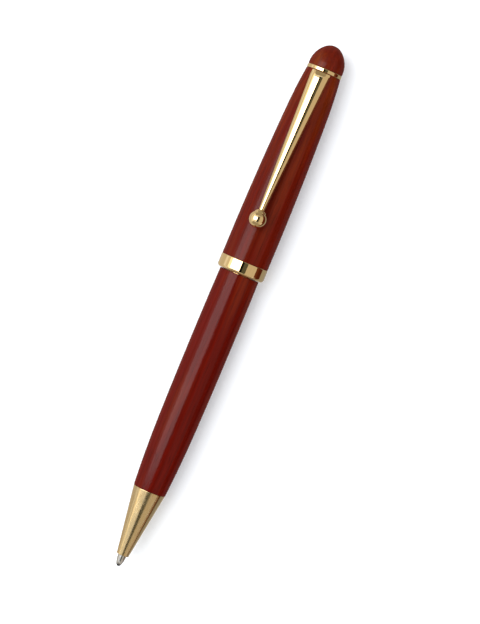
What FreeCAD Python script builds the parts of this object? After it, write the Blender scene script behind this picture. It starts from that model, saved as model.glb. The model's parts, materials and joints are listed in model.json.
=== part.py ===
"""Twist-action pen with turned wooden barrels, gold-plated fittings and a screw-in refill.

The pen is drawn upright: the local Z axis is the pen's axis, a "station" is a height above the
writing tip with the point extended, and local +X is the side that the clip is on. Each finished
sub-part is then laid down, so that the pen's axis is +X, the clip is on top (+Z) and the centre
band touches the table at Z = 0. All sizes are millimetres, in the sheet called Sizes.
"""

import FreeCAD, Part
import Sketcher

import os
import re

Vector = FreeCAD.Vector

# alias, value, what it is
SIZES = [
    ("pen_length", 139.5, "writing tip to top of finial, point extended"),
    ("edge_break", 0.10, "small rounding on turned metal and wooden edges"),
    # Nose cone
    ("nose_front", 3.0, "station of the nose cone's front face"),
    ("nose_rear", 20.5, "station where the nose cone meets the lower barrel"),
    ("nose_front_radius", 1.55, "outside, at the front face"),
    ("nose_rear_radius", 4.16, "outside, at the lower barrel"),
    ("tip_bore", 1.20, "radius of the hole that the refill's point comes out of"),
    ("tip_bore_rear", 7.5, "station where the point's hole starts to open"),
    ("refill_bore", 1.85, "radius inside the nose around the refill tube"),
    ("refill_bore_front", 9.5, "station where that bore begins"),
    ("refill_bore_rear", 13.0, "station where it opens into the cavity"),
    ("nose_cavity", 2.5, "radius of the cavity behind it"),
    ("nose_cavity_front", 15.0, "station where the cavity has its full radius"),
    ("tenon_rear", 28.0, "rear end of the tenon pressed into the lower liner"),
    # Lower barrel
    ("liner_bore", 3.2, "inside radius of both brass liners"),
    ("liner_outer", 3.5, "outside radius of both brass liners"),
    ("barrel_front_radius", 4.19, "lower barrel behind the nose cone"),
    ("barrel_swell", 39.4, "station where the two curves of the lower barrel meet"),
    ("barrel_swell_radius", 5.03, "radius there"),
    ("barrel_front_curve", 311.0, "radius of the front curve"),
    ("barrel_rear", 78.5, "rear end of the lower barrel"),
    ("barrel_rear_radius", 5.10, "radius of the lower barrel at its rear end"),
    # Twist mechanism, lower side
    ("case_front", 58.0, "front end of the mechanism's brass case"),
    ("case_rear", 80.0, "rear end of the case, behind the lower barrel"),
    ("case_bore", 2.95, "inside radius of the case"),
    ("case_lip", 2.55, "radius of the rolled lip that keeps the drive tube in"),
    ("case_lip_front", 79.15, "station where the lip begins"),
    ("sleeve_front", 61.0, "front end of the cam sleeve"),
    ("sleeve_rear", 76.5, "rear end of the cam sleeve"),
    ("sleeve_bore", 2.45, "inside radius of the cam sleeve and the thrust washers"),
    ("washer_thick", 0.5, "thickness of a thrust washer"),
    ("washer_outer", 2.93, "outside radius of a thrust washer"),
    ("rear_washer_front", 78.6, "station of the rear thrust washer"),
    # Twist mechanism, motion
    ("travel", 5.0, "how far the point draws back"),
    ("twist_angle", 180.0, "twist that draws it back, in degrees"),
    ("run_on", 18.0, "how far the cam slot goes on past each end, in degrees"),
    ("cam_slot_height", 1.70, "height of the helical slot along the axis"),
    ("pin_station", 66.0, "station of the cam pin with the point extended"),
    ("pin_radius", 0.60, "radius of the cam pin"),
    ("pin_inner", 1.70, "distance from the axis to the pin's inner end"),
    ("pin_length", 1.17, "length of the pin"),
    # Twist mechanism, upper side
    ("drive_front", 60.0, "front end of the drive tube"),
    ("drive_rear", 104.0, "rear end of the drive tube and its head"),
    ("drive_bore", 2.06, "inside radius of the drive tube"),
    ("drive_outer", 2.42, "outside radius of the drive tube"),
    ("flange_front", 77.05, "front of the flange that turns between the washers"),
    ("flange_rear", 78.55, "rear of that flange"),
    ("flange_radius", 2.90, "radius of the flange"),
    ("guide_slot_width", 1.30, "width of the straight slot in the drive tube"),
    ("guide_slot_play", 0.05, "play of the pin at each end of that slot"),
    ("head_front", 82.3, "front end of the drive head"),
    ("head_radius", 3.18, "outside radius of the drive head"),
    ("head_chamfer", 0.35, "chamfer on both ends of the drive head"),
    ("groove_depth", 0.16, "depth of a knurl groove"),
    ("groove_half_width", 0.20, "half the width of a knurl groove"),
    ("groove_margin", 1.7, "plain length left at each end of the knurl"),
    ("groove_count", 24, "number of knurl grooves"),
    # Refill carrier
    ("carrier_front", 64.0, "front end of the refill carrier"),
    ("carrier_bore", 1.66, "inside radius of the carrier"),
    ("carrier_outer", 2.03, "outside radius of the carrier"),
    ("collar_front", 105.0, "front of the carrier's threaded collar"),
    ("collar_rear", 110.0, "rear of that collar"),
    ("collar_radius", 2.6, "outside radius of the collar"),
    ("screw_radius", 1.90, "radius of the refill's thread"),
    ("screw_front", 105.2, "station where the thread begins"),
    # Refill
    ("ball_radius", 0.50, "writing ball"),
    ("ball_play", 0.01, "gap between the ball and its seat"),
    ("lip_forward", 0.16, "how far the seat's lip reaches past the ball's centre"),
    ("lip_radius", 0.58, "outside radius of that lip"),
    ("ink_channel", 0.30, "radius of the channel that feeds the ball"),
    ("point_shoulder", 2.6, "station where the curved point becomes a cone"),
    ("point_shoulder_radius", 1.06, "radius there"),
    ("point_curve", 6.0, "radius of the point's curve"),
    ("point_cone_rear", 4.0, "station where the cone meets the shank"),
    ("shank_radius", 1.15, "radius of the point's shank"),
    ("shank_rear", 10.5, "rear end of the shank"),
    ("tube_front", 11.0, "front end of the refill tube"),
    ("tube_rear", 109.0, "rear end of the refill tube"),
    ("tube_outer", 1.60, "outside radius of the refill tube"),
    ("tube_bore", 1.30, "inside radius of the refill tube"),
    ("spigot_rear", 15.0, "rear end of the point's spigot in the tube"),
    ("ink_rear", 88.0, "level of the ink"),
    ("screw_collar_radius", 2.4, "collar of the refill screw"),
    ("screw_collar_rear", 111.2, "rear of that collar"),
    ("screw_stem_radius", 1.7, "stem that the fingers turn"),
    ("screw_stem_front", 111.8, "front of the stem"),
    ("refill_rear", 116.8, "rear end of the refill"),
    ("vent_radius", 0.40, "air hole in the refill screw"),
    ("turn_slot_width", 0.6, "width of the slot across the stem's end"),
    ("turn_slot_depth", 1.2, "depth of that slot"),
    # Centre band
    ("band_front", 78.65, "front face of the centre band"),
    ("band_rear", 82.0, "rear face of the centre band"),
    ("band_radius", 6.10, "outside radius, the widest of the pen"),
    ("band_rounding", 0.80, "rounding of the band's front edge"),
    ("band_rear_rounding", 0.20, "rounding of the band's rear edge"),
    ("band_bore", 3.65, "radius of the hole in the band's front flange"),
    ("band_seat", 79.9, "station where the band's counterbore ends"),
    ("cap_tenon_radius", 5.20, "upper barrel's tenon in the band"),
    # Upper barrel
    ("upper_liner_front", 81.0, "front end of the upper liner"),
    ("cap_front_radius", 6.03, "upper barrel behind the centre band"),
    ("cap_swell", 121.7, "station where the two curves of the upper barrel meet"),
    ("cap_swell_radius", 5.32, "radius there"),
    ("cap_front_curve", 854.0, "radius of the front curve"),
    ("cap_rear", 132.25, "rear end of the upper barrel"),
    ("cap_rear_radius", 4.47, "radius of the upper barrel at its rear end"),
    ("notch_front", 131.6, "front of the notch for the clip's root tab"),
    ("notch_width", 2.8, "width of that notch"),
    # Clip ring and finial
    ("ring_rear", 133.25, "rear face of the clip ring"),
    ("ring_radius", 4.50, "outside radius of the clip ring"),
    ("ring_rounding", 0.22, "rounding of the ring's edges"),
    ("dome_radius", 4.42, "finial at its base"),
    ("dome_shoulder", 138.8, "station where the finial's side meets its nose"),
    ("dome_shoulder_radius", 2.03, "radius there"),
    ("dome_side_curve", 6.2, "radius of the finial's side"),
    ("stud_front", 124.0, "front end of the stud inside the upper liner"),
    ("stud_pin_radius", 2.0, "pin of the stud that the finial is glued on"),
    ("stud_pin_rear", 137.3, "rear end of that pin"),
    ("dome_bore_rear", 137.6, "depth of the hole in the finial"),
    # Clip
    ("neck_station", 95.35, "front end of the clip's arm, at the ball"),
    ("neck_half_width", 0.70, "half the arm's width at the neck"),
    ("neck_crest", 8.90, "axis to the top of the arm at the neck"),
    ("neck_edge", 8.40, "axis to the edge of the crown at the neck"),
    ("neck_foot", 7.72, "axis to the arm's underside at the neck"),
    ("neck_inner", 7.82, "axis to the hollow underneath at the neck"),
    ("crown_station", 130.9, "widest section of the arm"),
    ("crown_half_width", 2.42, "half the arm's width there"),
    ("crown_crest", 5.62, "axis to the top of the arm there"),
    ("crown_edge", 4.52, "axis to the edge of the crown there"),
    ("crown_foot", 4.30, "axis to the arm's underside there"),
    ("crown_inner", 5.12, "axis to the hollow underneath there"),
    ("root_station", 132.1, "rear end of the arm, at the clip ring"),
    ("root_half_width", 2.34, "half the arm's width at the root"),
    ("root_crest", 5.02, "axis to the top of the arm at the root"),
    ("root_edge", 4.25, "axis to the edge of the crown at the root"),
    ("root_foot", 4.05, "axis to the arm's underside at the root"),
    ("root_inner", 4.60, "axis to the hollow underneath at the root"),
    ("rim_width", 0.36, "width of the arm's two lower rims"),
    ("tab_front", 131.7, "front face of the root tab"),
    ("tab_half_width", 1.3, "half the width of the root tab"),
    ("tab_inner", 3.65, "axis to the inner end of the root tab"),
    ("tab_outer", 4.78, "axis to where the tab joins the arm"),
    ("clip_ball_station", 92.9, "centre of the clip's ball"),
    ("clip_ball_height", 8.27, "axis to the centre of the clip's ball"),
    ("clip_ball_radius", 2.20, "radius of the clip's ball"),
    ("collar_start_radius", 1.50, "radius where the ball flows into its collar"),
    ("collar_curve", 1.4, "hollow curve of that collar"),
    ("collar_end_radius", 0.74, "radius of the collar's small end"),
    ("clip_pin_radius", 0.42, "pin of the arm inside the ball"),
    ("clip_pin_length", 1.4, "length of that pin"),
]

ALIASES = {alias for alias, _, _ in SIZES}
WORD = re.compile(r"[A-Za-z_]+")
LYING = FreeCAD.Rotation(Vector(1, 0, 1), 180)  # local Z to +X, local X to +Z

doc = FreeCAD.newDocument("Pen")


# ---------------------------------------------------------------- sheet and expressions


def make_sheet():
    """One row for each size: its name, its value with an alias, and what it is."""
    sheet = doc.addObject("Spreadsheet::Sheet", "Sizes")
    for row, (alias, value, meaning) in enumerate(SIZES, start=1):
        sheet.set(f"A{row}", alias)
        sheet.set(f"B{row}", str(value))
        sheet.setAlias(f"B{row}", alias)
        sheet.set(f"C{row}", meaning)
    doc.recompute()
    return sheet


def sized(expression):
    """Names the sheet before every alias: "nose_rear + 1" becomes "Sizes.nose_rear + 1"."""
    return WORD.sub(
        lambda m: f"Sizes.{m.group()}" if m.group() in ALIASES else m.group(),
        str(expression),
    )


def amount(expression):
    """The expression's value now, as a plain number."""
    return float(sheet.evalExpression(sized(expression)))


# ---------------------------------------------------------------- sketching


def origin_plane(body, role):
    return next(f for f in body.Origin.OriginFeatures if f.Role == role)


def new_sketch(body, role, name, shift=None):
    """A sketch on one of the body's origin planes. shift holds expressions for its x, y and z."""
    sketch = body.newObject("Sketcher::SketchObject", f"{body.Label}_{name}")
    sketch.AttachmentSupport = (origin_plane(body, role), [""])
    sketch.MapMode = "FlatFace"
    for axis, expression in (shift or {}).items():
        sketch.setExpression(f"AttachmentOffset.Base.{axis}", sized(expression))
    return sketch


def bind(sketch, constraint, name, expression):
    index = sketch.addConstraint(constraint)
    sketch.renameConstraint(index, name)
    sketch.setExpression(f"Constraints.{name}", sized(expression))


def bulged(start, end, radius, side):
    """Middle point of the arc from start to end that bulges to that side of the way it goes."""
    chord = end - start
    half = chord.Length / 2
    rise = radius - max(radius**2 - half**2, 0) ** 0.5
    right = Vector(chord.y, -chord.x, 0).normalize()
    return (start + end) / 2 + right * (rise if side == "right" else -rise)


def flowing(start, end, heading):
    """Middle point of the arc from start to end that sets off along heading."""
    chord = end - start
    halfway = (heading + chord / chord.Length).normalize()
    return start + halfway * (chord.Length**2 / 2 / halfway.dot(chord))


def ends(sketch, edge, start):
    """The edge's numbers for its first and last point: an arc may be kept the other way round."""
    return (1, 2) if sketch.getPoint(edge, 1).isEqual(start, 1e-6) else (2, 1)


def outline(sketch, corners):
    """Closes one loop through the corners, each placed by two expressions from the origin.

    A corner is (x, y) after a straight edge, (x, y, side, radius) after an arc that bulges to
    that side, or (x, y, "flow") after an arc that runs on smoothly from the edge before.
    """
    points = [Vector(amount(c[0]), amount(c[1]), 0) for c in corners]
    heading = None
    edges = []
    for i, corner in enumerate(corners[1:] + corners[:1], start=1):
        start, end = points[i - 1], points[i % len(points)]
        kind = corner[2] if len(corner) > 2 else "line"
        chord = (end - start).normalize()
        if kind == "line":
            geometry = Part.LineSegment(start, end)
            heading = chord
        else:
            if kind == "flow":
                middle = flowing(start, end, heading)
            else:
                middle = bulged(start, end, amount(corner[3]), kind)
            geometry = Part.Arc(start, middle, end)
            leaving = (end - middle).normalize()
            heading = leaving * (2 * chord.dot(leaving)) - chord
        edge = sketch.addGeometry(geometry)
        edges.append((edge, *ends(sketch, edge, start), kind, corner))

    for i, (edge, first, last, kind, corner) in enumerate(edges):
        before, _, before_last, _, _ = edges[i - 1]
        join = "Tangent" if kind == "flow" else "Coincident"
        sketch.addConstraint(Sketcher.Constraint(join, before, before_last, edge, first))
        if kind in ("left", "right"):
            radius = Sketcher.Constraint("Radius", edge, amount(corner[3]))
            bind(sketch, radius, f"r{i}", corner[3])
        place_point(sketch, edge, last, corner, i)


def place_point(sketch, edge, end, corner, number):
    """Fixes one end of an edge with two distances, or on an axis where a distance is zero."""
    for name, axis, expression in (("X", -2, corner[0]), ("Y", -1, corner[1])):
        value = amount(expression)
        if abs(value) < 1e-9:
            sketch.addConstraint(Sketcher.Constraint("PointOnObject", edge, end, axis))
            continue
        distance = Sketcher.Constraint(f"Distance{name}", -1, 1, edge, end, value)
        bind(sketch, distance, f"{name.lower()}{number}", expression)


def circle(sketch, radius, centre=("0", "0"), number=0):
    """A circle whose radius and centre are expressions."""
    at = Vector(amount(centre[0]), amount(centre[1]), 0)
    edge = sketch.addGeometry(Part.Circle(at, Vector(0, 0, 1), amount(radius)))
    constraint = Sketcher.Constraint("Radius", edge, amount(radius))
    bind(sketch, constraint, f"radius{number}", radius)
    place_point(sketch, edge, 3, centre, f"c{number}")


# ---------------------------------------------------------------- features


def new_body(label):
    body = doc.addObject("PartDesign::Body", label)
    body.Label = label
    return body


def lay_down(part, along="0", up="0"):
    """Lays a sub-part down with the pen, along and up from the writing tip on the axis."""
    part.setExpression("Placement.Base.x", sized(f"{along} - pen_length / 2"))
    part.setExpression("Placement.Base.z", sized(f"{up} + band_radius"))


def turned(label, corners, at=("0", "0")):
    """A body turned about the pen's axis, or about a line parallel to it through at."""
    body = new_body(label)
    sketch = new_sketch(body, "XZ_Plane", "outline", {"x": at[0], "y": at[1]})
    outline(sketch, corners)
    turn = body.newObject("PartDesign::Revolution", f"{label}_turn")
    turn.Profile = sketch
    turn.ReferenceAxis = (sketch, ["V_Axis"])
    turn.Angle = 360
    return body


def tube(label, outer, front, rear, inner=None):
    """A plain tube, or a rod where it has no bore, between two stations."""
    body = new_body(label)
    sketch = new_sketch(body, "XY_Plane", "section", {"z": front})
    circle(sketch, outer, number=1)
    if inner:
        circle(sketch, inner, number=2)
    pad(body, sketch, "length", f"{rear} - ({front})")
    return body


def pad(body, sketch, name, length, backwards=False):
    feature = body.newObject("PartDesign::Pad", f"{body.Label}_{name}")
    feature.Profile = sketch
    feature.setExpression("Length", sized(length))
    feature.Reversed = backwards
    return feature


def pocket(body, sketch, name, length, along_normal=True):
    """Cuts the sketch away along its normal, or against it, and checks that it removed material."""
    doc.recompute()
    before = body.Shape.Volume
    feature = body.newObject("PartDesign::Pocket", f"{body.Label}_{name}")
    feature.Profile = sketch
    feature.setExpression("Length", sized(length))
    feature.Reversed = along_normal
    doc.recompute()
    if body.Shape.Volume > before - 1e-3:
        raise RuntimeError(f"{feature.Label} cuts nothing")
    return feature


def around(body, feature, name, count):
    """Repeats a feature evenly about the pen's axis."""
    pattern = body.newObject("PartDesign::PolarPattern", f"{body.Label}_{name}")
    pattern.Originals = [feature]
    pattern.Axis = (origin_plane(body, "Z_Axis"), [""])
    pattern.Angle = 360
    pattern.setExpression("Occurrences", sized(count))
    body.Tip = pattern
    return pattern


# ---------------------------------------------------------------- lower half


def nose_cone():
    return turned(
        "nose_cone",
        [
            ("tip_bore", "nose_front"),
            ("nose_front_radius - edge_break", "nose_front"),
            ("nose_front_radius", "nose_front + edge_break", "right", "edge_break"),
            ("nose_rear_radius", "nose_rear - edge_break"),
            ("nose_rear_radius - edge_break", "nose_rear", "right", "edge_break"),
            ("liner_bore", "nose_rear"),
            ("liner_bore", "tenon_rear - edge_break"),
            ("liner_bore - edge_break", "tenon_rear"),
            ("nose_cavity", "tenon_rear"),
            ("nose_cavity", "nose_cavity_front"),
            ("refill_bore", "refill_bore_rear"),
            ("refill_bore", "refill_bore_front"),
            ("tip_bore", "tip_bore_rear"),
        ],
    )


def lower_barrel():
    return turned(
        "lower_barrel",
        [
            ("liner_outer", "nose_rear"),
            ("barrel_front_radius - edge_break", "nose_rear"),
            ("barrel_front_radius", "nose_rear + edge_break", "right", "edge_break"),
            ("barrel_swell_radius", "barrel_swell", "right", "barrel_front_curve"),
            ("barrel_rear_radius", "barrel_rear - edge_break", "flow"),
            ("barrel_rear_radius - edge_break", "barrel_rear", "right", "edge_break"),
            ("liner_outer", "barrel_rear"),
        ],
    )


def lower_liner():
    return tube("lower_liner", "liner_outer", "nose_rear", "barrel_rear", "liner_bore")


def mechanism_case():
    return turned(
        "mechanism_case",
        [
            ("case_bore", "case_front"),
            ("liner_bore - edge_break", "case_front"),
            ("liner_bore", "case_front + edge_break", "right", "edge_break"),
            ("liner_bore", "case_rear - 2 * edge_break"),
            ("liner_bore - 2 * edge_break", "case_rear", "right", "2 * edge_break"),
            ("case_lip", "case_rear"),
            ("case_lip", "case_lip_front"),
            ("case_bore", "case_lip_front"),
        ],
    )


def cam_sleeve():
    """The helical slot climbs by the travel over the twist angle and runs on at both ends."""
    body = tube("cam_sleeve", "case_bore", "sleeve_front", "sleeve_rear", "sleeve_bore")
    sketch = new_sketch(body, "XZ_Plane", "slot_section")
    sketch.AttachmentOffset = FreeCAD.Placement(Vector(), Vector(0, 1, 0), -1)
    sketch.setExpression("AttachmentOffset.Rotation.Angle", sized("-run_on"))
    inner, outer = "sleeve_bore - 0.2", "case_bore + 0.2"
    low = "pin_station - travel * run_on / twist_angle - cam_slot_height / 2"
    high = f"{low} + cam_slot_height"
    outline(sketch, [(inner, low), (outer, low), (outer, high), (inner, high)])
    doc.recompute()
    before = body.Shape.Volume
    slot = body.newObject("PartDesign::SubtractiveHelix", "cam_sleeve_slot")
    slot.Profile = sketch
    slot.ReferenceAxis = (sketch, ["V_Axis"])
    slot.Mode = "pitch-height-angle"
    slot.setExpression("Pitch", sized("travel * 360 / twist_angle"))
    slot.setExpression(
        "Height", sized("travel * (twist_angle + 2 * run_on) / twist_angle")
    )
    slot.LeftHanded = False
    doc.recompute()
    if body.Shape.Volume > before - 1:
        raise RuntimeError("the cam slot cuts nothing")
    return body


def thrust_washer(label, front):
    return tube(
        label, "washer_outer", front, f"{front} + washer_thick", "sleeve_bore"
    )


# ---------------------------------------------------------------- drive core


def drive_tube():
    body = turned(
        "drive_tube",
        [
            ("drive_bore", "drive_front"),
            ("drive_outer", "drive_front"),
            ("drive_outer", "flange_front"),
            ("flange_radius", "flange_front"),
            ("flange_radius", "flange_rear"),
            ("drive_outer", "flange_rear"),
            ("drive_outer", "drive_rear"),
            ("drive_bore", "drive_rear"),
        ],
    )
    sketch = new_sketch(body, "YZ_Plane", "guide_slot")
    side = "guide_slot_width / 2"
    low = "pin_station - guide_slot_play"
    high = "pin_station + travel + guide_slot_play"
    outline(
        sketch,
        [
            (side, low, "flow"),
            (side, high),
            (f"-{side}", high, "flow"),
            (f"-{side}", low),
        ],
    )
    pocket(body, sketch, "guide", "drive_outer + 1")
    return body


def drive_head():
    body = turned(
        "drive_head",
        [
            ("drive_outer", "head_front"),
            ("head_radius - head_chamfer", "head_front"),
            ("head_radius", "head_front + head_chamfer"),
            ("head_radius", "drive_rear - head_chamfer"),
            ("head_radius - head_chamfer", "drive_rear"),
            ("drive_outer", "drive_rear"),
        ],
    )
    sketch = new_sketch(
        body, "XY_Plane", "groove", {"z": "head_front + groove_margin"}
    )
    brim = "head_radius + groove_depth / 4"
    outline(
        sketch,
        [
            ("head_radius - groove_depth", "0"),
            (brim, "-groove_half_width"),
            (brim, "groove_half_width"),
        ],
    )
    length = "drive_rear - head_front - 2 * groove_margin"
    groove = pocket(body, sketch, "groove_cut", length)
    around(body, groove, "knurl", "groove_count")
    return body


# ---------------------------------------------------------------- refill and its carrier


def carrier():
    body = turned(
        "refill_carrier",
        [
            ("carrier_bore", "carrier_front"),
            ("carrier_outer", "carrier_front"),
            ("carrier_outer", "collar_front"),
            ("collar_radius - edge_break", "collar_front"),
            ("collar_radius", "collar_front + edge_break", "right", "edge_break"),
            ("collar_radius", "collar_rear - edge_break"),
            ("collar_radius - edge_break", "collar_rear", "right", "edge_break"),
            ("screw_radius", "collar_rear"),
            ("screw_radius", "screw_front"),
            ("carrier_bore", "screw_front"),
        ],
    )
    sketch = new_sketch(body, "YZ_Plane", "pin_hole")
    circle(sketch, "pin_radius", ("0", "pin_station"))
    pocket(body, sketch, "pin_hole_cut", "carrier_outer + 1")
    return body


def cam_pin():
    pin = doc.addObject("Part::Cylinder", "cam_pin")
    pin.Label = "cam_pin"
    pin.setExpression("Radius", sized("pin_radius"))
    pin.setExpression("Height", sized("pin_length"))
    return pin


def refill_tip():
    seat = "(ball_radius + ball_play)"
    return turned(
        "refill_tip",
        [
            (
                f"sqrt({seat}^2 - lip_forward^2)",
                "ball_radius - lip_forward",
                "left",
                seat,
            ),
            ("lip_radius", "ball_radius - lip_forward"),
            ("point_shoulder_radius", "point_shoulder", "right", "point_curve"),
            ("shank_radius", "point_cone_rear"),
            ("shank_radius", "shank_rear"),
            ("tube_outer", "shank_rear"),
            ("tube_outer", "tube_front"),
            ("tube_bore", "tube_front"),
            ("tube_bore", "spigot_rear"),
            ("ink_channel", "spigot_rear"),
            ("ink_channel", f"ball_radius + sqrt({seat}^2 - ink_channel^2)"),
        ],
    )


def writing_ball():
    ball = doc.addObject("Part::Sphere", "writing_ball")
    ball.Label = "writing_ball"
    ball.setExpression("Radius", sized("ball_radius"))
    return ball


def refill_tube():
    return tube("refill_tube", "tube_outer", "tube_front", "tube_rear", "tube_bore")


def ink_column():
    return tube("ink_column", "tube_bore", "spigot_rear", "ink_rear")


def refill_screw():
    body = turned(
        "refill_screw",
        [
            ("tube_outer", "screw_front"),
            ("screw_radius", "screw_front"),
            ("screw_radius", "collar_rear"),
            ("screw_collar_radius", "collar_rear"),
            ("screw_collar_radius", "screw_collar_rear"),
            ("screw_stem_radius", "screw_stem_front"),
            ("screw_stem_radius", "refill_rear - 2 * edge_break"),
            (
                "screw_stem_radius - 2 * edge_break",
                "refill_rear",
                "right",
                "2 * edge_break",
            ),
            ("vent_radius", "refill_rear"),
            ("vent_radius", "tube_rear"),
            ("tube_outer", "tube_rear"),
        ],
    )
    sketch = new_sketch(
        body, "XY_Plane", "turn_slot", {"z": "refill_rear - turn_slot_depth"}
    )
    half, reach = "turn_slot_width / 2", "screw_stem_radius + 1"
    outline(
        sketch,
        [
            (half, f"-({reach})"),
            (half, reach),
            (f"-({half})", reach),
            (f"-({half})", f"-({reach})"),
        ],
    )
    pocket(body, sketch, "turn_slot_cut", "turn_slot_depth + 1")
    return body


# ---------------------------------------------------------------- upper half


def center_band():
    return turned(
        "center_band",
        [
            ("band_bore", "band_front"),
            ("band_radius - band_rounding", "band_front"),
            ("band_radius", "band_front + band_rounding", "right", "band_rounding"),
            ("band_radius", "band_rear - band_rear_rounding"),
            (
                "band_radius - band_rear_rounding",
                "band_rear",
                "right",
                "band_rear_rounding",
            ),
            ("cap_tenon_radius", "band_rear"),
            ("cap_tenon_radius", "band_seat"),
            ("band_bore", "band_seat"),
        ],
    )


def upper_barrel():
    body = turned(
        "upper_barrel",
        [
            ("liner_outer", "band_seat"),
            ("cap_tenon_radius", "band_seat"),
            ("cap_tenon_radius", "band_rear"),
            ("cap_front_radius - edge_break", "band_rear"),
            ("cap_front_radius", "band_rear + edge_break", "right", "edge_break"),
            ("cap_swell_radius", "cap_swell", "right", "cap_front_curve"),
            ("cap_rear_radius", "cap_rear - edge_break", "flow"),
            ("cap_rear_radius - edge_break", "cap_rear", "right", "edge_break"),
            ("liner_outer", "cap_rear"),
        ],
    )
    sketch = new_sketch(body, "XY_Plane", "notch", {"z": "notch_front"})
    half, outside = "notch_width / 2", "cap_rear_radius + 1"
    outline(
        sketch,
        [
            ("liner_outer - 1", f"-{half}"),
            (outside, f"-{half}"),
            (outside, half),
            ("liner_outer - 1", half),
        ],
    )
    pocket(body, sketch, "notch_cut", "cap_rear - notch_front + 1")
    return body


def upper_liner():
    return tube(
        "upper_liner", "liner_outer", "upper_liner_front", "cap_rear", "liner_bore"
    )


def clip_ring():
    return turned(
        "clip_ring",
        [
            ("liner_bore", "cap_rear"),
            ("ring_radius - ring_rounding", "cap_rear"),
            ("ring_radius", "cap_rear + ring_rounding", "right", "ring_rounding"),
            ("ring_radius", "ring_rear - ring_rounding"),
            ("ring_radius - ring_rounding", "ring_rear", "right", "ring_rounding"),
            ("liner_bore", "ring_rear"),
        ],
    )


def finial():
    """The side and the nose are two arcs; the nose arc is centred on the axis."""
    nose_height = "(pen_length - dome_shoulder)"
    nose_curve = f"(dome_shoulder_radius^2 + {nose_height}^2) / (2 * {nose_height})"
    return turned(
        "finial",
        [
            ("stud_pin_radius", "ring_rear"),
            ("dome_radius - edge_break", "ring_rear"),
            ("dome_radius", "ring_rear + edge_break", "right", "edge_break"),
            ("dome_shoulder_radius", "dome_shoulder", "right", "dome_side_curve"),
            ("0", "pen_length", "right", nose_curve),
            ("0", "dome_bore_rear"),
            ("stud_pin_radius", "dome_bore_rear"),
        ],
    )


def finial_stud():
    return turned(
        "finial_stud",
        [
            ("0", "stud_front"),
            ("liner_bore - 2 * edge_break", "stud_front"),
            (
                "liner_bore",
                "stud_front + 2 * edge_break",
                "right",
                "2 * edge_break",
            ),
            ("liner_bore", "ring_rear"),
            ("stud_pin_radius", "ring_rear"),
            ("stud_pin_radius", "stud_pin_rear"),
            ("0", "stud_pin_rear"),
        ],
    )


# ---------------------------------------------------------------- clip


def arm_section(body, place):
    """The arm's crowned, hollow section at "neck", "crown" or "root"."""
    half, crest, edge = f"{place}_half_width", f"{place}_crest", f"{place}_edge"
    foot, inner = f"{place}_foot", f"{place}_inner"
    under = f"({half} - rim_width)"
    sketch = new_sketch(body, "XY_Plane", f"{place}_section", {"z": f"{place}_station"})
    outer_curve = f"({half}^2 + ({crest} - {edge})^2) / (2 * ({crest} - {edge}))"
    inner_curve = f"({under}^2 + ({inner} - {foot})^2) / (2 * ({inner} - {foot}))"
    outline(
        sketch,
        [
            (edge, f"-{half}"),
            (edge, half, "right", outer_curve),
            (foot, half),
            (foot, under),
            (foot, f"-{under}", "left", inner_curve),
            (foot, f"-{half}"),
        ],
    )
    return sketch


def arm_length(body, name, start, end):
    loft = body.newObject("PartDesign::AdditiveLoft", f"{body.Label}_{name}")
    loft.Profile = start
    loft.Sections = [end]
    loft.Ruled = True
    return loft


def clip_arm():
    """A hollow arm that narrows to its neck, closed by a tab that drops through the notch."""
    body = new_body("clip_arm")
    neck, crown, root = (arm_section(body, p) for p in ("neck", "crown", "root"))
    arm_length(body, "arm", neck, crown)
    arm_length(body, "end", crown, root)

    tab = new_sketch(body, "XY_Plane", "tab", {"z": "tab_front"})
    outline(
        tab,
        [
            ("tab_inner", "-tab_half_width"),
            ("tab_outer", "-tab_half_width"),
            ("tab_outer", "tab_half_width"),
            ("tab_inner", "tab_half_width"),
        ],
    )
    pad(body, tab, "tab_pad", "root_station - tab_front")

    pin = new_sketch(body, "XY_Plane", "pin", {"z": "neck_station"})
    circle(pin, "clip_pin_radius", ("clip_ball_height", "0"))
    pad(body, pin, "pin_pad", "clip_pin_length", backwards=True)
    return body


def clip_ball():
    """A ball with a hollow-curved collar that takes the arm's pin."""
    start_height = "sqrt(clip_ball_radius^2 - collar_start_radius^2)"
    end_height = "(neck_station - clip_ball_station)"
    return turned(
        "clip_ball",
        [
            ("0", "-clip_ball_radius"),
            ("collar_start_radius", start_height, "right", "clip_ball_radius"),
            ("collar_end_radius", end_height, "left", "collar_curve"),
            ("clip_pin_radius", end_height),
            ("clip_pin_radius", f"{end_height} - clip_pin_length"),
            ("0", f"{end_height} - clip_pin_length"),
        ],
        at=("clip_ball_height", "clip_ball_station"),
    )


# ---------------------------------------------------------------- checks and export


def check(part):
    """Stops the build if a sub-part failed, is empty or isn't a valid solid."""
    shape = part.Shape
    if shape.isNull() or not shape.isValid() or len(shape.Solids) != 1:
        raise RuntimeError(f"{part.Label} isn't one valid solid")
    print(f"{part.Label:20s} {shape.Volume:10.2f} mm3")


sheet = make_sheet()
lying_down = [
    nose_cone(),
    lower_barrel(),
    lower_liner(),
    mechanism_case(),
    cam_sleeve(),
    thrust_washer("front_thrust_washer", "sleeve_rear"),
    thrust_washer("rear_thrust_washer", "rear_washer_front"),
    drive_tube(),
    drive_head(),
    carrier(),
    refill_tip(),
    refill_tube(),
    ink_column(),
    refill_screw(),
    center_band(),
    upper_barrel(),
    upper_liner(),
    clip_ring(),
    finial(),
    finial_stud(),
    clip_arm(),
    clip_ball(),
]
for part in lying_down:
    part.Placement = FreeCAD.Placement(Vector(), LYING)
    lay_down(part)

ball, pin = writing_ball(), cam_pin()
lay_down(ball, along="ball_radius")
lay_down(pin, along="pin_station", up="pin_inner")

doc.recompute()
for item in doc.Objects:
    if "Invalid" in item.State or "Error" in item.State:
        raise RuntimeError(f"{item.Label} failed: {item.State}")

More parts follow.
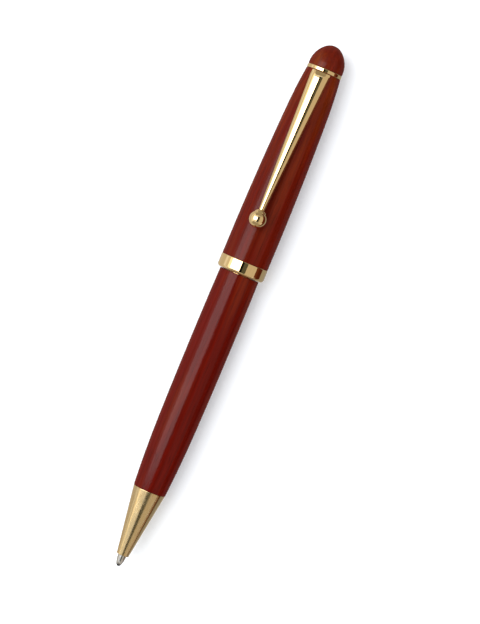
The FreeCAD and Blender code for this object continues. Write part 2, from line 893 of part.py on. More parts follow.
os.makedirs("parts", exist_ok=True)
for part in lying_down + [ball, pin]:
    check(part)
    part.Shape.exportStep(f"parts/{part.Label}.step")
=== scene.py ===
"""A wooden twist pen with gold-plated fittings, lying on a white table.

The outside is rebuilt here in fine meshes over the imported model: turned pieces are sections spun
about the pen's axis, and the clip's arm is a loft. A "station" is a distance in millimetres from
the writing tip along the pen, and radii and heights are millimetres from the pen's axis.
"""

import json
import math

import bmesh
import bpy
from mathutils import Matrix, Vector


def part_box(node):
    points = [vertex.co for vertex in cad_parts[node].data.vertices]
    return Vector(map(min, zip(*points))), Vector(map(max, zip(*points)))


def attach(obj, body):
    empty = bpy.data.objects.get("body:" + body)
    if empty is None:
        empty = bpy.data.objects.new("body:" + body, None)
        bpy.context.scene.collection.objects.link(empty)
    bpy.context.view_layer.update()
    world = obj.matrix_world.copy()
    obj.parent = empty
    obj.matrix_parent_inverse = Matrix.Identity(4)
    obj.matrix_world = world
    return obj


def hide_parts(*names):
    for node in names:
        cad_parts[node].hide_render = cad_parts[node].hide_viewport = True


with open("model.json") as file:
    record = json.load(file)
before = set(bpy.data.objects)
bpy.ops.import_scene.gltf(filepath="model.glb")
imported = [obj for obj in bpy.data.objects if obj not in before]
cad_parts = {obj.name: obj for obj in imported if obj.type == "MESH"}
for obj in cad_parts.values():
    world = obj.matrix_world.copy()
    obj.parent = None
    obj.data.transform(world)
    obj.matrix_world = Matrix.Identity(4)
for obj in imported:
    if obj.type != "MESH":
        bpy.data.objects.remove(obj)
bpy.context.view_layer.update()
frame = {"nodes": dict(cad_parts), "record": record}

MM = 0.001
SEGMENTS = 192
band_low, band_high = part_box("center_band")
AXIS_Z = (band_low.z + band_high.z) / 2
TIP_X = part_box("writing_ball")[0].x


def station(mm):
    """X of a place on the pen, measured in millimetres from its writing tip."""
    return TIP_X + mm * MM


def station_of(x):
    return (x - TIP_X) / MM


def front_of(node):
    return station_of(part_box(node)[0].x)


def rear_of(node):
    return station_of(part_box(node)[1].x)


# ---------------------------------------------------------------- sections


def arc(start, end, radius, steps=24):
    """Points from start to end on an arc that bulges away from the axis."""
    (s0, r0), (s1, r1) = start, end
    half = math.dist(start, end) / 2
    tilt = math.atan2(r1 - r0, s1 - s0)
    reach = math.asin(half / radius)
    middle = ((s0 + s1) / 2, (r0 + r1) / 2)
    drop = radius * math.cos(reach)
    points = []
    for i in range(steps + 1):
        turn = reach * (2 * i / steps - 1)
        along, up = radius * math.sin(turn), radius * math.cos(turn) - drop
        points.append(
            (
                middle[0] + along * math.cos(tilt) - up * math.sin(tilt),
                middle[1] + along * math.sin(tilt) + up * math.cos(tilt),
            )
        )
    return points


def radius_for(half_chord, rise):
    """Radius of the arc over a chord that rises so far at its middle."""
    return (half_chord**2 + rise**2) / 2 / rise


def flowing_radius(before, start, end):
    """Radius of the arc to end that runs on smoothly from the edge before -> start."""
    heading = math.atan2(start[1] - before[1], start[0] - before[0])
    chord = math.atan2(end[1] - start[1], end[0] - start[0])
    return math.dist(start, end) / 2 / math.sin(heading - chord)


def rounded(corners, steps=8):
    """A closed loop with its corners rounded. A corner is (a, b) or (a, b, fillet radius)."""
    points = []
    for i, corner in enumerate(corners):
        here = Vector(corner[:2])
        if len(corner) < 3:
            points.append(tuple(here))
            continue
        before = Vector(corners[i - 1][:2]) - here
        after = Vector(corners[(i + 1) % len(corners)][:2]) - here
        fillet = corner[2]
        half_angle = before.angle(after) / 2
        cut = fillet / math.tan(half_angle)
        before.normalize()
        after.normalize()
        centre = here + (before + after).normalized() * (fillet / math.sin(half_angle))
        first = here + before * cut - centre
        turn = first.angle_signed(here + after * cut - centre)
        points.append(tuple(here + before * cut * 1.3))
        for k in range(steps + 1):
            angle = -turn * k / steps
            spoke = Matrix.Rotation(angle, 2) @ first
            points.append(tuple(centre + spoke))
        points.append(tuple(here + after * cut * 1.3))
    return points


# ---------------------------------------------------------------- meshes


def add_piece(name, mesh_data, body, node, material, sharp=35):
    """Finishes a bmesh as a smooth-shaded piece that rides on a body in place of a CAD node."""
    bmesh.ops.recalc_face_normals(mesh_data, faces=mesh_data.faces)
    mesh = bpy.data.meshes.new(name)
    mesh_data.to_mesh(mesh)
    mesh_data.free()
    mesh.shade_smooth()
    mesh.set_sharp_from_angle(angle=math.radians(sharp))
    mesh.materials.append(material)
    piece = bpy.data.objects.new(name, mesh)
    bpy.context.scene.collection.objects.link(piece)
    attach(piece, body)
    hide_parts(node)
    return piece


def ring_of(mesh_data, s, r, height):
    """One ring of vertices about the axis, or a single vertex on it."""
    if r < 1e-6:
        return [mesh_data.verts.new((station(s), 0, AXIS_Z + height * MM))] * SEGMENTS
    ring = []
    for i in range(SEGMENTS):
        angle = 2 * math.pi * i / SEGMENTS
        y, z = r * math.sin(angle), r * math.cos(angle) + height
        ring.append(mesh_data.verts.new((station(s), y * MM, AXIS_Z + z * MM)))
    return ring


def lathe(section, height=0.0):
    """Spins a closed section of (station, radius) points about the axis, or a line above it."""
    mesh_data = bmesh.new()
    rings = [ring_of(mesh_data, s, max(r, 0.0), height) for s, r in section]
    for a, b in zip(rings, rings[1:] + rings[:1]):
        for i in range(SEGMENTS):
            j = (i + 1) % SEGMENTS
            corners = list(dict.fromkeys((a[i], a[j], b[j], b[i])))
            if len(corners) > 2:
                mesh_data.faces.new(corners)
    return mesh_data


def loft(rows):
    """Joins closed rows of points with faces and closes both ends."""
    mesh_data = bmesh.new()
    loops = [[mesh_data.verts.new(p) for p in row] for row in rows]
    for a, b in zip(loops, loops[1:]):
        for i in range(len(a)):
            j = (i + 1) % len(a)
            mesh_data.faces.new((a[i], a[j], b[j], b[i]))
    mesh_data.faces.new(loops[0])
    mesh_data.faces.new(loops[-1])
    return mesh_data


# ---------------------------------------------------------------- materials


class Nodes:
    """Short ways to add nodes to one material."""

    def __init__(self, name):
        self.material = bpy.data.materials.new(name)
        self.material.use_nodes = True
        self.tree = self.material.node_tree
        self.shader = self.tree.nodes["Principled BSDF"]

    def add(self, kind, inputs=None, **settings):
        node = self.tree.nodes.new(kind)
        for key, value in settings.items():
            setattr(node, key, value)
        for key, value in (inputs or {}).items():
            self.put(node.inputs[key], value)
        return node

    def put(self, socket, value):
        """Links an output, or sets a plain value."""
        if isinstance(value, bpy.types.NodeSocket):
            self.tree.links.new(value, socket)
        else:
            socket.default_value = value

    def set(self, **inputs):
        for key, value in inputs.items():
            self.put(self.shader.inputs[key.replace("_", " ")], value)

    def math(self, operation, a, b=0.0, clamp=False):
        node = self.add("ShaderNodeMath", {0: a, 1: b}, operation=operation, use_clamp=clamp)
        return node.outputs[0]

    def place(self, scale, shift=(0, 0, 0)):
        """Object coordinates in millimetres from the middle of the axis, scaled on each axis."""
        where = self.add("ShaderNodeTexCoord").outputs["Object"]
        centred = self.add(
            "ShaderNodeVectorMath", {0: where, 1: (0, 0, -AXIS_Z)}, operation="ADD"
        ).outputs[0]
        size = tuple(s / MM for s in scale)
        return self.add(
            "ShaderNodeMapping", {"Vector": centred, "Scale": size, "Location": shift}
        ).outputs[0]

    def noise(self, scale, shift=(0, 0, 0), detail=3.0, roughness=0.5):
        """Noise whose features are 1/scale millimetres long on each axis."""
        vector = self.place(scale, shift)
        node = self.add(
            "ShaderNodeTexNoise",
            {"Vector": vector, "Scale": 1.0, "Detail": detail, "Roughness": roughness},
        )
        return node.outputs["Fac"]

    def ramp(self, value, *stops):
        """A colour ramp through (position, colour) stops."""
        node = self.add("ShaderNodeValToRGB", {"Fac": value})
        elements = node.color_ramp.elements
        while len(elements) < len(stops):
            elements.new(0.5)
        for element, (position, color) in zip(elements, stops):
            element.position = position
            element.color = (*color, 1) if isinstance(color, tuple) else (color, color, color, 1)
        return node.outputs["Color"]

    def mix(self, factor, a, b, blend="MIX"):
        node = self.add("ShaderNodeMix", data_type="RGBA", blend_type=blend)
        self.put(node.inputs[0], factor)
        for socket, value in ((node.inputs[6], a), (node.inputs[7], b)):
            self.put(socket, (*value, 1) if isinstance(value, tuple) else value)
        return node.outputs[2]

    def between(self, value, low, high):
        """Stretches 0..1 to low..high."""
        node = self.add("ShaderNodeMapRange", {"Value": value, "To Min": low, "To Max": high})
        return node.outputs["Result"]

    def bump(self, height, distance, strength=1.0):
        """Distance is the height of the relief in millimetres."""
        node = self.add(
            "ShaderNodeBump", {"Height": height, "Distance": distance * MM, "Strength": strength}
        )
        return node.outputs["Normal"]


def around_axis(nodes, shift=(0, 0, 0)):
    """Distance from a line parallel to the pen's axis, in millimetres."""
    place = nodes.place((0, 1, 1), shift)
    return nodes.add("ShaderNodeVectorMath", {0: place}, operation="LENGTH").outputs["Value"]


def wood(name, pith, seed, tint, coat=0.26, polish=0.14):
    """Rosewood under a semi-gloss lacquer: growth rings about an off-centre pith, and pores."""
    n = Nodes(name)
    warp = n.noise((0.018, 0.10, 0.10), (seed, 0, 0), detail=4)
    distance = n.math("ADD", around_axis(n, pith), n.math("MULTIPLY", warp, 3.2))
    wave = n.math("SINE", n.math("MULTIPLY", distance, 2 * math.pi / 1.35))
    band = n.math("ADD", n.math("MULTIPLY", wave, 0.5), 0.5)
    fibre = n.noise((0.035, 2.2, 2.2), (seed, 3, 7), detail=5, roughness=0.6)
    cloud = n.noise((0.03, 0.22, 0.22), (seed, 5, 1), detail=2)
    pores = n.ramp(n.noise((0.16, 6.0, 6.0), (seed, 9, 4), detail=2), (0.30, 1.0), (0.40, 0.0))

    dark, middle, light = (
        tuple(c * t for c, t in zip(color, tint))
        for color in ((0.060, 0.0016, 0.0009), (0.175, 0.0050, 0.0014), (0.265, 0.0230, 0.0045))
    )
    body = n.ramp(cloud, (0.30, middle), (0.50, middle), (0.75, light))
    streaked = n.mix(n.between(fibre, 0.0, 0.9), dark, body)
    ringed = n.mix(n.math("MULTIPLY", band, 0.38), streaked, dark)
    color = n.mix(n.math("MULTIPLY", pores, 0.55), ringed, tuple(c * 0.35 for c in dark))
    orange_peel = n.noise((0.5, 0.5, 0.5), (seed, 0, 2), detail=1)
    relief = n.math("SUBTRACT", orange_peel, n.math("MULTIPLY", pores, 0.25))
    haze = n.noise((0.25, 0.8, 0.8), (seed, 4, 4))
    n.set(
        Base_Color=color,
        Roughness=n.between(fibre, 0.42, 0.58),
        Specular_IOR_Level=0.0,
        Coat_Weight=coat,
        Coat_Roughness=n.between(haze, polish * 0.8, polish * 1.3),
        Coat_Normal=n.bump(relief, 0.012),
        Normal=n.bump(n.math("SUBTRACT", fibre, pores), 0.01),
    )
    return n.material


def gold(name, color, roughness, streaks, seed=0):
    """Gold plate. Its streaks go from 0 for a polished piece to 1 for a satin one."""
    n = Nodes(name)
    lines = n.noise((0.07, 5.5, 5.5), (seed, 1, 1), detail=4, roughness=0.65)
    cloud = n.noise((0.35, 0.35, 0.35), (seed, 7, 3), detail=3)
    wear = n.noise((1.1, 2.6, 2.6), (seed, 2, 8), detail=5, roughness=0.7)
    deep = tuple(c * k for c, k in zip(color, (0.93, 0.84, 0.66)))
    tint = n.mix(n.ramp(lines, (0.36, 1.0), (0.62, 0.0)), color, deep)
    shade = n.mix(n.between(cloud, 0.0, 0.5), tint, color)
    rough = n.math(
        "ADD",
        n.between(wear, roughness * 0.6, roughness * 1.5),
        n.math("MULTIPLY", n.between(lines, -0.5, 1.0), 0.12 * streaks),
    )
    relief = n.math("ADD", lines, n.math("MULTIPLY", wear, 0.4))
    n.set(
        Base_Color=n.mix(0.25 + 0.75 * streaks, color, shade),
        Metallic=1.0,
        Roughness=rough,
        Anisotropic=0.5 * streaks,
        Normal=n.bump(relief, 0.0012 + 0.004 * streaks),
    )
    return n.material


def turned_metal(name, color, roughness, pitch=0.12, depth=0.004):
    """Bare metal off a lathe: fine rings around the axis, with a faint tarnish."""
    n = Nodes(name)
    rings = n.noise((1 / pitch, 0.02, 0.02), detail=2)
    tarnish = n.noise((0.22, 0.45, 0.45), (3, 1, 2), detail=5, roughness=0.6)
    handled = n.noise((1.4, 1.4, 1.4), (5, 5, 5), detail=3)
    worn = tuple(c * k for c, k in zip(color, (0.66, 0.60, 0.52)))
    smudged = n.between(handled, roughness * 0.7, roughness * 1.3)
    n.set(
        Base_Color=n.mix(n.ramp(tarnish, (0.45, 0.0), (0.75, 0.8)), color, worn),
        Metallic=1.0,
        Roughness=n.math("ADD", n.between(rings, 0.0, 0.1), smudged),
        Normal=n.bump(rings, depth),
    )
    return n.material


def point_metal(name, color, inked_to):
    """Bright turned nickel silver, with a ring of ink around the ball as far as a station."""
    n = Nodes(name)
    rings = n.noise((9.0, 0.02, 0.02), detail=2)
    tarnish = n.noise((0.6, 0.9, 0.9), (3, 1, 2), detail=4)
    smear = n.noise((1.5, 1.5, 1.5), (4, 2, 6), detail=3)
    along = n.add("ShaderNodeSeparateXYZ", {"Vector": n.place((1, 1, 1))}).outputs["X"]
    behind = n.math("SUBTRACT", along, station(inked_to) / MM)
    inked = n.ramp(
        n.math("ADD", n.math("MULTIPLY", behind, 2.0), smear), (0.35, 1.0), (0.65, 0.0)
    )
    worn = tuple(c * 0.8 for c in color)
    bare = n.mix(n.math("MULTIPLY", tarnish, 0.6), color, worn)
    n.set(
        Base_Color=n.mix(inked, bare, (0.012, 0.013, 0.022)),
        Metallic=n.math("SUBTRACT", 1.0, n.math("MULTIPLY", inked, 0.5)),
        Roughness=n.math("ADD", n.between(rings, 0.03, 0.07), n.math("MULTIPLY", inked, 0.15)),
        Normal=n.bump(rings, 0.002),
    )
    return n.material


def drawn_metal(name, color, roughness):
    """Drawn tube: scratches along it, crossed by a few shallow marks."""
    n = Nodes(name)
    lines = n.noise((0.05, 6.0, 6.0), detail=4, roughness=0.6)
    marks = n.noise((2.5, 0.7, 0.7), (2, 2, 2), detail=3)
    dull = tuple(c * 0.72 for c in color)
    n.set(
        Base_Color=n.mix(n.between(marks, 0.0, 0.7), color, dull),
        Metallic=1.0,
        Roughness=n.between(lines, roughness * 0.7, roughness * 1.6),
        Anisotropic=0.4,
        Normal=n.bump(lines, 0.004),
    )
    return n.material


def moulded(name, color, roughness):
    """Moulded acetal: a slightly waxy white with flow marks."""
    n = Nodes(name)
    flow = n.noise((0.3, 0.9, 0.9), detail=3)
    grain = n.noise((9, 9, 9), detail=2)
    warm = tuple(c * k for c, k in zip(color, (0.93, 0.91, 0.84)))
    n.set(
        Base_Color=n.mix(flow, color, warm),
        Roughness=n.between(grain, roughness * 0.8, roughness * 1.3),
        Subsurface_Weight=0.25,
        Subsurface_Radius=(0.0008, 0.0006, 0.0004),
        Subsurface_Scale=1.0,
        Normal=n.bump(grain, 0.006),
    )
    return n.material


def carbide():
    """The writing ball: polished dark metal with a film of ink in patches."""
    n = Nodes("ball_carbide")
    film = n.ramp(n.noise((2.2, 2.2, 2.2), (1, 4, 2), detail=3), (0.42, 0.0), (0.60, 1.0))
    n.set(
        Base_Color=n.mix(film, (0.075, 0.075, 0.08), (0.010, 0.011, 0.02)),
        Metallic=n.math("SUBTRACT", 1.0, n.math("MULTIPLY", film, 0.6)),
        Roughness=n.between(n.noise((6, 6, 6), detail=2), 0.10, 0.24),
    )
    return n.material


def ink():
    n = Nodes("ink")
    swirl = n.noise((0.3, 1.2, 1.2), detail=4)
    n.set(
        Base_Color=n.mix(swirl, (0.010, 0.011, 0.03), (0.016, 0.020, 0.07)),
        Roughness=n.between(swirl, 0.08, 0.2),
        Coat_Weight=1.0,
    )
    return n.material


def table_top():
    """White paper with a faint bluish glow, painted light that keeps the shadow pale."""
    n = Nodes("table")
    fleck = n.noise((0.5, 0.5, 0.5), detail=6, roughness=0.7)
    n.set(
        Base_Color=n.mix(fleck, (0.86, 0.885, 0.92), (0.90, 0.92, 0.94)),
        Roughness=n.between(fleck, 0.7, 0.85),
        Specular_IOR_Level=0.1,
        # Painted light: the paper glows faintly bluish so that its shadow stays pale.
        Emission_Color=(0.92, 0.96, 1.0, 1),
        Emission_Strength=0.18,
        Normal=n.bump(fleck, 0.02),
    )
    return n.material


GOLD_COLOR = (0.93, 0.70, 0.365)
LOWER_WOOD = wood("lacquered_wood_lower", (0, 11.5, 7.0), 0.0, (0.95, 1.15, 1.0))
UPPER_WOOD = wood("lacquered_wood_upper", (0, -8.0, 9.5), 31.0, (1.0, 1.8, 1.2))
FINIAL_WOOD = wood("lacquered_wood_finial", (0, 9.0, -6.0), 57.0, (1.1, 2.6, 1.6), polish=0.2)
POLISHED_GOLD = gold("gold_plate_polished", GOLD_COLOR, 0.045, 0.0)
CLIP_GOLD = gold("gold_plate_clip", GOLD_COLOR, 0.07, 0.15, seed=11)
SATIN_GOLD = gold("gold_plate_satin", (0.76, 0.59, 0.33), 0.17, 1.0, seed=23)
NICKEL = point_metal("nickel_silver", (0.66, 0.65, 0.62), 0.55)
BY_SLOT = {
    "lacquered_wood": LOWER_WOOD,
    "gold_plate": POLISHED_GOLD,
    "bare_brass": turned_metal("bare_brass", (0.78, 0.56, 0.26), 0.2),
    "acetal": moulded("acetal", (0.84, 0.83, 0.79), 0.34),
    "hard_steel": turned_metal("hard_steel", (0.50, 0.50, 0.51), 0.15, pitch=0.05),
    "refill_steel": drawn_metal("refill_steel", (0.60, 0.60, 0.61), 0.24),
    "nickel_silver": NICKEL,
    "ball_carbide": carbide(),
    "ink": ink(),
}


def dress_frame():
    """Gives every carried-over CAD node the material of its slot."""
    slots = {s["node"]: s["material_slot"] for s in frame["record"]["subparts"]}
    for name, node in frame["nodes"].items():
        for slot in node.material_slots:
            slot.material = BY_SLOT[slots[name]]


# ---------------------------------------------------------------- lower half

BREAK = 0.10
LINER_BORE, LINER_OUTER = 3.2, 3.5
NOSE_REAR = front_of("lower_barrel")
BARREL_REAR = rear_of("lower_barrel")


def make_nose_cone():
    front, tenon = front_of("nose_cone"), rear_of("nose_cone")
    section = rounded(
        [
            (front, 1.20, 0.05),
            (front, 1.55, BREAK),
            (NOSE_REAR, 4.16, 0.14),
            (NOSE_REAR, LINER_BORE),
            (tenon, LINER_BORE, 0.08),
            (tenon, 2.5),
            (15.0, 2.5),
            (13.0, 1.85),
            (9.5, 1.85),
            (7.5, 1.20),
        ]
    )
    add_piece(
        "nose_cone_turned", lathe(section), "lower_half", "nose_cone", SATIN_GOLD
    )


def make_lower_barrel():
    front, swell, rear = (NOSE_REAR, 4.19), (39.4, 5.03), (BARREL_REAR, 5.10)
    first = arc(front, swell, 311.0, 40)
    second = arc(swell, rear, flowing_radius(first[-2], swell, rear), 60)
    section = rounded(
        [(NOSE_REAR, LINER_OUTER), (*front, BREAK)]
        + first[1:]
        + second[1:-1]
        + [(*rear, BREAK), (BARREL_REAR, LINER_OUTER)]
    )
    add_piece(
        "lower_barrel_turned",
        lathe(section),
        "lower_half",
        "lower_barrel",
        LOWER_WOOD,
    )


# ---------------------------------------------------------------- refill point


def make_refill_point():
    """The writing ball, and the point that is spun in over it."""
    ball, seat, lip = 0.50, 0.51, 0.34
    mouth = math.sqrt(seat**2 - (ball - lip) ** 2)
    channel = 0.30
    seat_rear = ball + math.sqrt(seat**2 - channel**2)
    seat_wall = []
    start = math.atan2(mouth, lip - ball)
    end = math.atan2(channel, seat_rear - ball)
    for i in range(13):
        angle = start + (end - start) * i / 12
        seat_wall.append((ball + seat * math.cos(angle), seat * math.sin(angle)))
    section = (
        rounded([(lip, mouth), (lip, 0.57, 0.025), (0.42, 0.61)])[:-1]
        + arc((0.45, 0.615), (2.6, 1.06), 6.0, 24)
        + rounded([(2.6, 1.06), (4.0, 1.15, 0.3), (10.5, 1.15)])[1:-1]
        + [(10.5, 1.15), (10.5, 1.6), (11.0, 1.6), (11.0, 1.3), (15.0, 1.3), (15.0, channel)]
        + seat_wall[::-1]
    )
    add_piece(
        "refill_point_turned",
        lathe(section),
        "refill_unit",
        "refill_tip",
        NICKEL,
        sharp=24,
    )
    circle = [
        (ball - ball * math.cos(math.pi * i / 48), ball * math.sin(math.pi * i / 48))
        for i in range(49)
    ]
    add_piece(
        "writing_ball_ground",
        lathe(circle),
        "writing_ball",
        "writing_ball",
        BY_SLOT["ball_carbide"],
        sharp=90,
    )


# ---------------------------------------------------------------- upper half

BAND_REAR = rear_of("center_band")
RING_FRONT, RING_REAR = front_of("clip_ring"), rear_of("clip_ring")
TENON, BAND_SEAT = 5.20, 79.9


def make_center_band():
    front, radius, bore = front_of("center_band"), 6.10, 3.65
    section = rounded(
        [
            (front, bore, 0.08),
            (front, radius, 0.80),
            (BAND_REAR, radius, 0.20),
            (BAND_REAR, TENON),
            (BAND_SEAT, TENON),
            (BAND_SEAT, bore),
        ],
        steps=14,
    )
    add_piece(
        "center_band_turned",
        lathe(section),
        "upper_half",
        "center_band",
        POLISHED_GOLD,
    )


def make_upper_barrel():
    front, swell, rear = (BAND_REAR, 6.03), (121.7, 5.32), (RING_FRONT, 4.47)
    first = arc(front, swell, 854.0, 60)
    second = arc(swell, rear, flowing_radius(first[-2], swell, rear), 30)
    section = rounded(
        [(BAND_SEAT, LINER_OUTER), (BAND_SEAT, TENON), (BAND_REAR, TENON), (*front, BREAK)]
        + first[1:]
        + second[1:-1]
        + [(*rear, BREAK), (RING_FRONT, LINER_OUTER)]
    )
    add_piece(
        "upper_barrel_turned",
        lathe(section),
        "upper_half",
        "upper_barrel",
        UPPER_WOOD,
    )


def make_clip_ring():
    radius, rounding = 4.50, 0.22
    section = rounded(
        [
            (RING_FRONT, LINER_BORE),
            (RING_FRONT, radius, rounding),
            (RING_REAR, radius, rounding),
            (RING_REAR, LINER_BORE),
        ]
    )
    add_piece(
        "clip_ring_turned", lathe(section), "upper_half", "clip_ring", POLISHED_GOLD
    )


def make_finial():
    """Two arcs, the side and the nose, the second centred on the axis."""
    base, shoulder, top = (RING_REAR, 4.42), (138.8, 2.03), rear_of("finial")
    nose = radius_for(shoulder[1], top - shoulder[0])
    half_turn = math.asin(shoulder[1] / nose)
    cap = [
        (top - nose + nose * math.cos(half_turn * k), nose * math.sin(half_turn * k))
        for k in (1 - i / 24 for i in range(25))
    ]
    side = arc(base, shoulder, 6.2, 40)
    section = rounded(
        [(RING_REAR, 2.0), (*base, BREAK)]
        + side[1:-1]
        + cap
        + [(137.6, 0.0), (137.6, 2.0)]
    )
    add_piece(
        "finial_turned",
        lathe(section),
        "upper_half",
        "finial",
        FINIAL_WOOD,
        sharp=60,
    )


# ---------------------------------------------------------------- clip

NECK, CROWN, ROOT = 95.35, 130.9, 132.1
# The arm's section at its three stations: half width, crest, edge, foot and hollow.
SECTIONS = {
    NECK: (0.70, 8.90, 8.40, 7.72, 7.82),
    CROWN: (2.42, 5.62, 4.52, 4.30, 5.12),
    ROOT: (2.34, 5.02, 4.25, 4.05, 4.60),
}
RIM = 0.36


def blended(s):
    """The arm's section at a station, with the bend before its root rounded off."""
    slope = {
        (a, b): [(q - p) / (b - a) for p, q in zip(SECTIONS[a], SECTIONS[b])]
        for a, b in ((NECK, CROWN), (CROWN, ROOT))
    }
    reach = 0.5
    low, high = CROWN - reach, CROWN + reach
    before = [p + m * (s - CROWN) for p, m in zip(SECTIONS[CROWN], slope[NECK, CROWN])]
    after = [p + m * (s - CROWN) for p, m in zip(SECTIONS[CROWN], slope[CROWN, ROOT])]
    if s <= low:
        return before
    if s >= high:
        return after
    t = (s - low) / (high - low)
    return [
        b - (b - a) * t if i == 0 else b + (m1 - m0) * (s - low) ** 2 / (4 * reach)
        for i, (b, a, m0, m1) in enumerate(
            zip(before, after, slope[NECK, CROWN], slope[CROWN, ROOT])
        )
    ]


def arm_row(s):
    """The crowned, hollow section of the arm at a station, as one closed loop."""
    half, crest, edge, foot, hollow = blended(s)
    under = half - RIM
    crown = arc((-half, edge), (half, edge), radius_for(half, crest - edge), 32)
    inside = arc((-under, foot), (under, foot), radius_for(under, hollow - foot), 24)
    corners = (
        [(*crown[0], 0.09)]
        + crown[1:-1]
        + [(*crown[-1], 0.09), (half, foot, 0.05), (*inside[-1], 0.03)]
        + inside[-2:0:-1]
        + [(*inside[0], 0.03), (-half, foot, 0.05)]
    )
    loop = rounded(corners, steps=4)
    return [(station(s), y * MM, AXIS_Z + z * MM) for y, z in loop]


def make_clip():
    stations = [NECK + (CROWN - 1.0 - NECK) * i / 90 for i in range(91)]
    stations += [CROWN - 1.0 + (ROOT - CROWN + 1.0) * i / 24 for i in range(1, 25)]
    add_piece(
        "clip_arm_formed",
        loft([arm_row(s) for s in stations]),
        "clip",
        "clip_arm",
        CLIP_GOLD,
    )

    centre, height, radius = 92.9, 8.27, 2.20
    start_radius, end_radius, hollow = 1.50, 0.74, 1.4
    start = centre + math.sqrt(radius**2 - start_radius**2)
    begin = math.atan2(start_radius, start - centre)
    ball = [
        (centre + radius * math.cos(a), radius * math.sin(a))
        for a in (math.pi + (begin - math.pi) * i / 60 for i in range(61))
    ]
    bowed = arc((NECK, -end_radius), (start, -start_radius), hollow, 12)
    collar = [(s, -r) for s, r in reversed(bowed)]
    pin, depth = 0.42, 1.4
    section = (
        ball[:-1]
        + collar
        + [(NECK, pin), (NECK - depth, pin), (NECK - depth, 0.0)]
    )
    add_piece(
        "clip_ball_turned",
        lathe(section, height),
        "clip",
        "clip_ball",
        POLISHED_GOLD,
        sharp=50,
    )


# ---------------------------------------------------------------- table, light and camera

CAMERA_ROLL = math.radians(7.5)


def panel(name, corners, material):
    mesh = bpy.data.meshes.new(name)
    mesh.from_pydata(corners, [], [(0, 1, 2, 3)])
    mesh.materials.append(material)
    item = bpy.data.objects.new(name, mesh)
    bpy.context.scene.collection.objects.link(item)
    return item


def around_pen(degrees, distance, x):
    """A point above the pen's axis, at an angle from the camera's side, positive towards -Y."""
    angle = CAMERA_ROLL + math.radians(degrees)
    return (x, -distance * math.sin(angle), AXIS_Z + distance * math.cos(angle))


def reflected_panel(name, corners, color, shades=False):
    """A panel that shows only in reflections, unless it also shades the pen from the room."""
    n = Nodes(name)
    emission = n.add("ShaderNodeEmission", {"Color": (*color, 1)})
    n.tree.links.new(emission.outputs[0], n.tree.nodes["Material Output"].inputs[0])
    item = panel(name, corners, n.material)
    item.visible_camera = False
    item.visible_shadow = item.visible_diffuse = shades


def card(name, from_degrees, to_degrees, color, distance=0.9, front=-0.7, rear=0.7, shades=False):
    """A studio card between two angles from the camera, and two X positions."""
    corners = [
        around_pen(a, distance, x)
        for a, x in (
            (from_degrees, front),
            (from_degrees, rear),
            (to_degrees, rear),
            (to_degrees, front),
        )
    ]
    reflected_panel(name, corners, color, shades)


def painted_floor_reflection(name, color, from_y, to_y, from_x=-3.0, to_x=3.0):
    """A panel just above the table, seen only in reflections: a painted reflection of the table in
    the panel's colour.
    """
    height = 0.2 * MM
    corners = [
        (x, y, height)
        for x, y in ((from_x, from_y), (to_x, from_y), (to_x, to_y), (from_x, to_y))
    ]
    reflected_panel(name, corners, color)


def soft_box(name, from_degrees, to_degrees, distance, front, rear, radiance):
    """A rectangular soft box between two angles from the camera, and two X positions."""
    middle = (from_degrees + to_degrees) / 2
    spread = math.radians(abs(to_degrees - from_degrees) / 2)
    width, length = 2 * distance * math.tan(spread), rear - front
    data = bpy.data.lights.new(name, "AREA")
    data.shape = "RECTANGLE"
    data.size, data.size_y = length, width
    data.energy = radiance * math.pi * width * length
    lamp = bpy.data.objects.new(name, data)
    bpy.context.scene.collection.objects.link(lamp)
    place = Vector(around_pen(middle, distance, (front + rear) / 2))
    back = (place - Vector((place.x, 0, AXIS_Z))).normalized()
    along = Vector((1, 0, 0))
    lamp.matrix_world = (
        Matrix.Translation(place) @ Matrix((along, back.cross(along), back)).transposed().to_4x4()
    )
    lamp.visible_camera = False
    return lamp


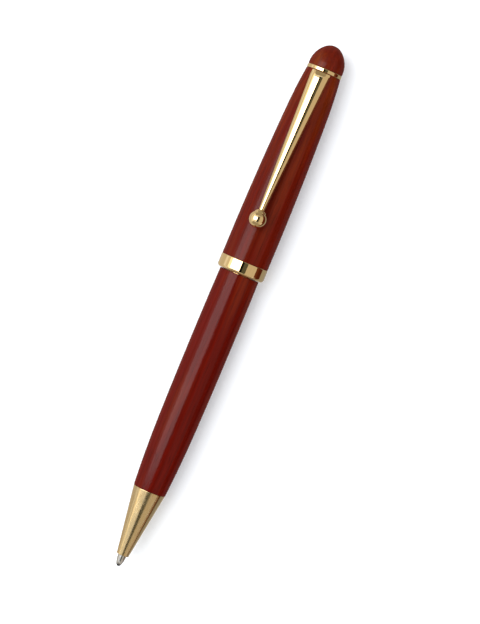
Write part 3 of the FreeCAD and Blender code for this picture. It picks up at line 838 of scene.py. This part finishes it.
def make_studio():
    size = 3.0
    panel(
        "table",
        [(-size, -size, 0), (size, -size, 0), (size, size, 0), (-size, size, 0)],
        table_top(),
    )
    soft_box("key", -9.3, -56, 0.8, -0.24, 0.32, 4.1)
    card("fading_card", -56, -70, (1.35, 1.30, 1.20))
    card("left_card", -70, -84, (0.70, 0.65, 0.56), distance=1.4, front=-1.5, rear=1.5)
    card("camera_card", -9.3, 2.3, (0.006, 0.006, 0.005))
    card("dim_card", 2.3, 21, (0.10, 0.10, 0.075))
    card("room_card", 21, 69, (0.60, 0.54, 0.46), distance=1.0, front=-1.0, rear=1.0)
    card("far_card", 69, 84, (0.14, 0.035, 0.014), distance=1.4, front=-0.6, rear=1.5, shades=True)
    # Painted reflections of the table: dark red and amber far out on the pen's shadow side, grey
    # near the pen for its shadow, dim warm grey on the rest.
    painted_floor_reflection("painted_reflection_dark_red", (0.09, 0.018, 0.008), -size, -0.026, from_x=-0.09)
    painted_floor_reflection("painted_reflection_amber", (0.50, 0.34, 0.16), -size, -0.026, to_x=-0.09)
    painted_floor_reflection("painted_reflection_shadow", (0.34, 0.33, 0.31), -0.026, -0.0066)
    painted_floor_reflection("painted_reflection_pale", (0.60, 0.56, 0.50), -0.0066, size)
    for name, x in (("front_card", -1.6), ("rear_card", 1.6)):
        corners = [(x, -1.6, 0), (x, 1.6, 0), (x, 1.6, 1.6), (x, -1.6, 1.6)]
        reflected_panel(name, corners, (0.34, 0.31, 0.26))

    world = bpy.data.worlds.new("world")
    bpy.context.scene.world = world
    world.use_nodes = True
    background = world.node_tree.nodes["Background"]
    background.inputs["Color"].default_value = (1, 1, 1, 1)
    background.inputs["Strength"].default_value = 0.85
    bpy.context.scene.view_settings.view_transform = "Standard"


def make_camera():
    """Looks down on the pen from a little round to its -Y side, finial at the upper right."""
    distance = 0.611
    pen_slope = math.radians(67.33)
    above = station(93)
    aim_across = 3.68 * MM
    field = math.radians(14.4)

    outward = Vector((0, -math.sin(CAMERA_ROLL), math.cos(CAMERA_ROLL)))
    across = Vector((0, -math.cos(CAMERA_ROLL), -math.sin(CAMERA_ROLL)))
    along = Vector((1, 0, 0))
    place = Vector((above, 0, AXIS_Z)) + outward * distance
    aim = Vector((station(70), 0, AXIS_Z)) + across * aim_across
    back = (place - aim).normalized()
    up = along * math.sin(pen_slope) - across * math.cos(pen_slope)
    right = up.cross(back).normalized()
    up = back.cross(right)

    data = bpy.data.cameras.new("camera")
    data.sensor_width = 36
    data.lens = data.sensor_width / 2 / math.tan(field / 2)
    data.clip_start, data.clip_end = 0.01, 20
    camera = bpy.data.objects.new("camera", data)
    bpy.context.scene.collection.objects.link(camera)
    camera.matrix_world = (
        Matrix.Translation(place) @ Matrix((right, up, back)).transposed().to_4x4()
    )
    bpy.context.scene.camera = camera


dress_frame()
make_nose_cone()
make_lower_barrel()
make_refill_point()
make_center_band()
make_upper_barrel()
make_clip_ring()
make_finial()
make_clip()
make_studio()
make_camera()
